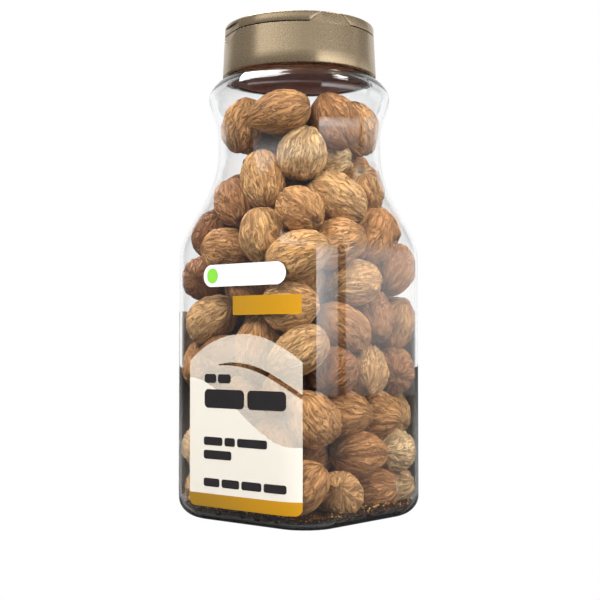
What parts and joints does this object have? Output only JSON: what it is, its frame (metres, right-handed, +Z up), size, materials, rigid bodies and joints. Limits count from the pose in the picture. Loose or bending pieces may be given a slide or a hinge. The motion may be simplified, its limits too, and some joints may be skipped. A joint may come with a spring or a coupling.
{
  "type": "bottle of whole nutmegs",
  "caption": "Clear square spice bottle with a round neck and a shut bronze screw cap with flaps, labelled and filled with loose whole nutmegs.",
  "frame": {"origin": "centre of the bottle's foot, on the surface it stands on", "axes": "+Z up along the bottle's axis to the cap; -Y is the front, the face the label is on; +X is the bottle's left-hand face as it looks out, the right-hand face for someone facing the label"},
  "size_m": [0.0832, 0.0838, 0.2088],
  "materials": {
    "clear_plastic": "clear, glossy, colourless PET",
    "bronze_plastic": "satin bronze with a faint metallic flake",
    "nutmeg_brown": "dry, wrinkled, matt",
    "label_cream": "smooth printed label",
    "label_gold": "smooth gold print",
    "label_white": "smooth white print",
    "label_grey": "plain back of a printed label"
  },
  "bodies": {
    "root": {"bottle": "clear_plastic", "cap": "bronze_plastic", "flap_left": "bronze_plastic", "flap_right": "bronze_plastic", "nutmeg_heap": "nutmeg_brown", "front_label": "label_cream", "gold_bar": "label_gold", "name_bar": "label_white", "back_label": "label_grey"}
  },
  "joints": []
}
